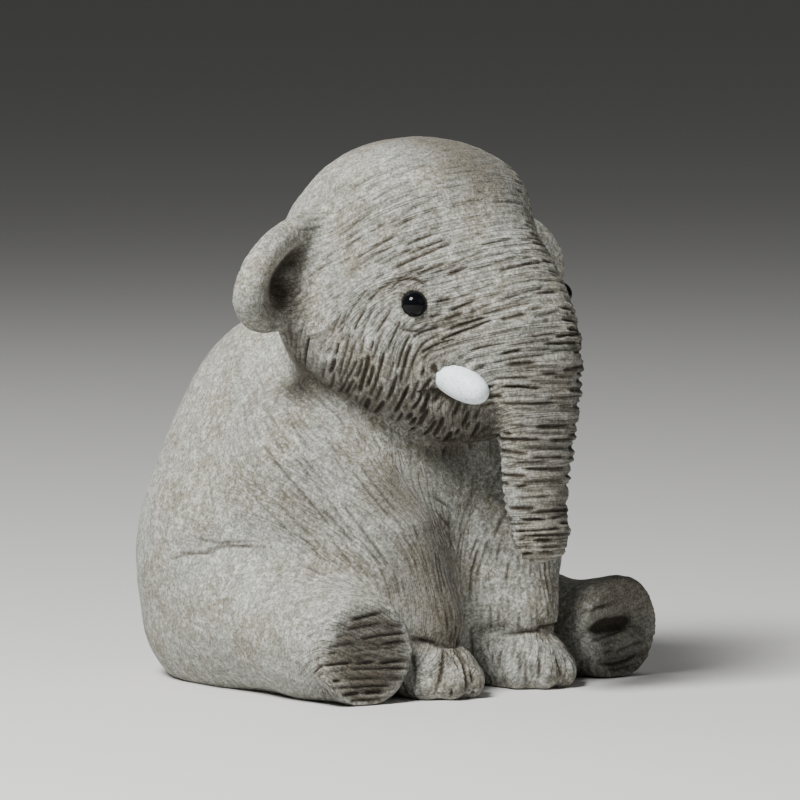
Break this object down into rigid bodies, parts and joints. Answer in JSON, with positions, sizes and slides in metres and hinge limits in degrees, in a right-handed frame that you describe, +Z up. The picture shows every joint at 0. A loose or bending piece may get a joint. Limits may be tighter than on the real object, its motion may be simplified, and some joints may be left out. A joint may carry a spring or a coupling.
{
  "type": "clay tea pet",
  "caption": "Seated baby elephant figurine in unglazed carved clay, with bead eyes, short white tusks and a hanging wrinkled trunk.",
  "frame": {"origin": "on the ground under the middle of the figure's outline", "axes": "+Z up, the figure faces -Y, its left side is +X"},
  "size_m": [0.0544, 0.0628, 0.0644],
  "materials": {
    "fired_clay": "unglazed, matt, grey-brown with dark carved wrinkles",
    "black_bead": "glossy black",
    "white_tusk": "satin white"
  },
  "bodies": {
    "root": {"clay_body": "fired_clay", "left_eye_bead": "black_bead", "right_eye_bead": "black_bead", "left_tusk": "white_tusk", "right_tusk": "white_tusk"}
  },
  "joints": []
}
